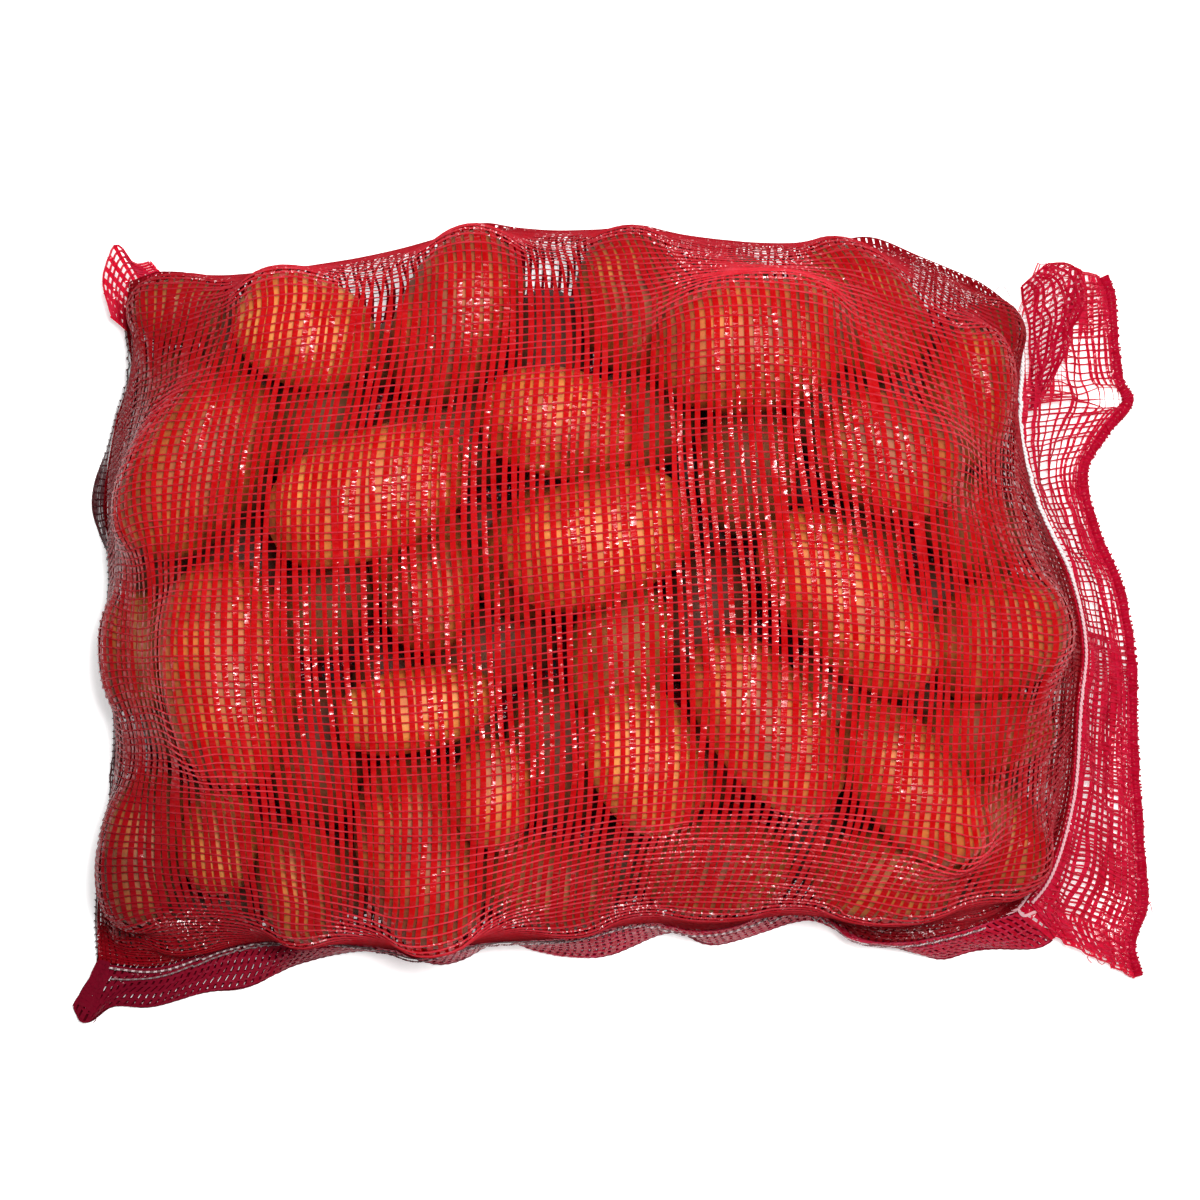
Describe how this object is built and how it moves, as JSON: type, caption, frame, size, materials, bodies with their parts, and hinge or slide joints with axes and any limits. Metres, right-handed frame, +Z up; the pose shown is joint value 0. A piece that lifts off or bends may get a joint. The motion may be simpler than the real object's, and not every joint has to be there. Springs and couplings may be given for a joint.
{
  "type": "bag of potatoes",
  "caption": "Red woven mesh bag filled with potatoes, lying flat: stitched long side, stitched mouth with a loose see-through flap beyond it.",
  "frame": {"origin": "centre of the bounding box in X and Y, at the surface the bag lies on", "axes": "+X from the closed end seam to the stitched mouth and its flap, +Y from the stitched long side to the folded long side, +Z up"},
  "size_m": [0.4516, 0.332, 0.1106],
  "materials": {
    "net_red": "woven polypropylene leno mesh, translucent flat tapes with a soft gloss",
    "net_crimson": "dense crumpled and folded layers of the same mesh",
    "thread_white": "soft white polyester sewing thread",
    "potato_skin": "dry washed potato skin, golden tan with eyes and specks"
  },
  "bodies": {
    "root": {"filled_net": "net_red", "side_seam": "net_red", "end_seam": "net_crimson", "corner_ear": "net_red", "mouth_flap": "net_red", "mouth_hem": "net_crimson", "side_thread": "thread_white", "mouth_thread": "thread_white"}
  },
  "joints": []
}
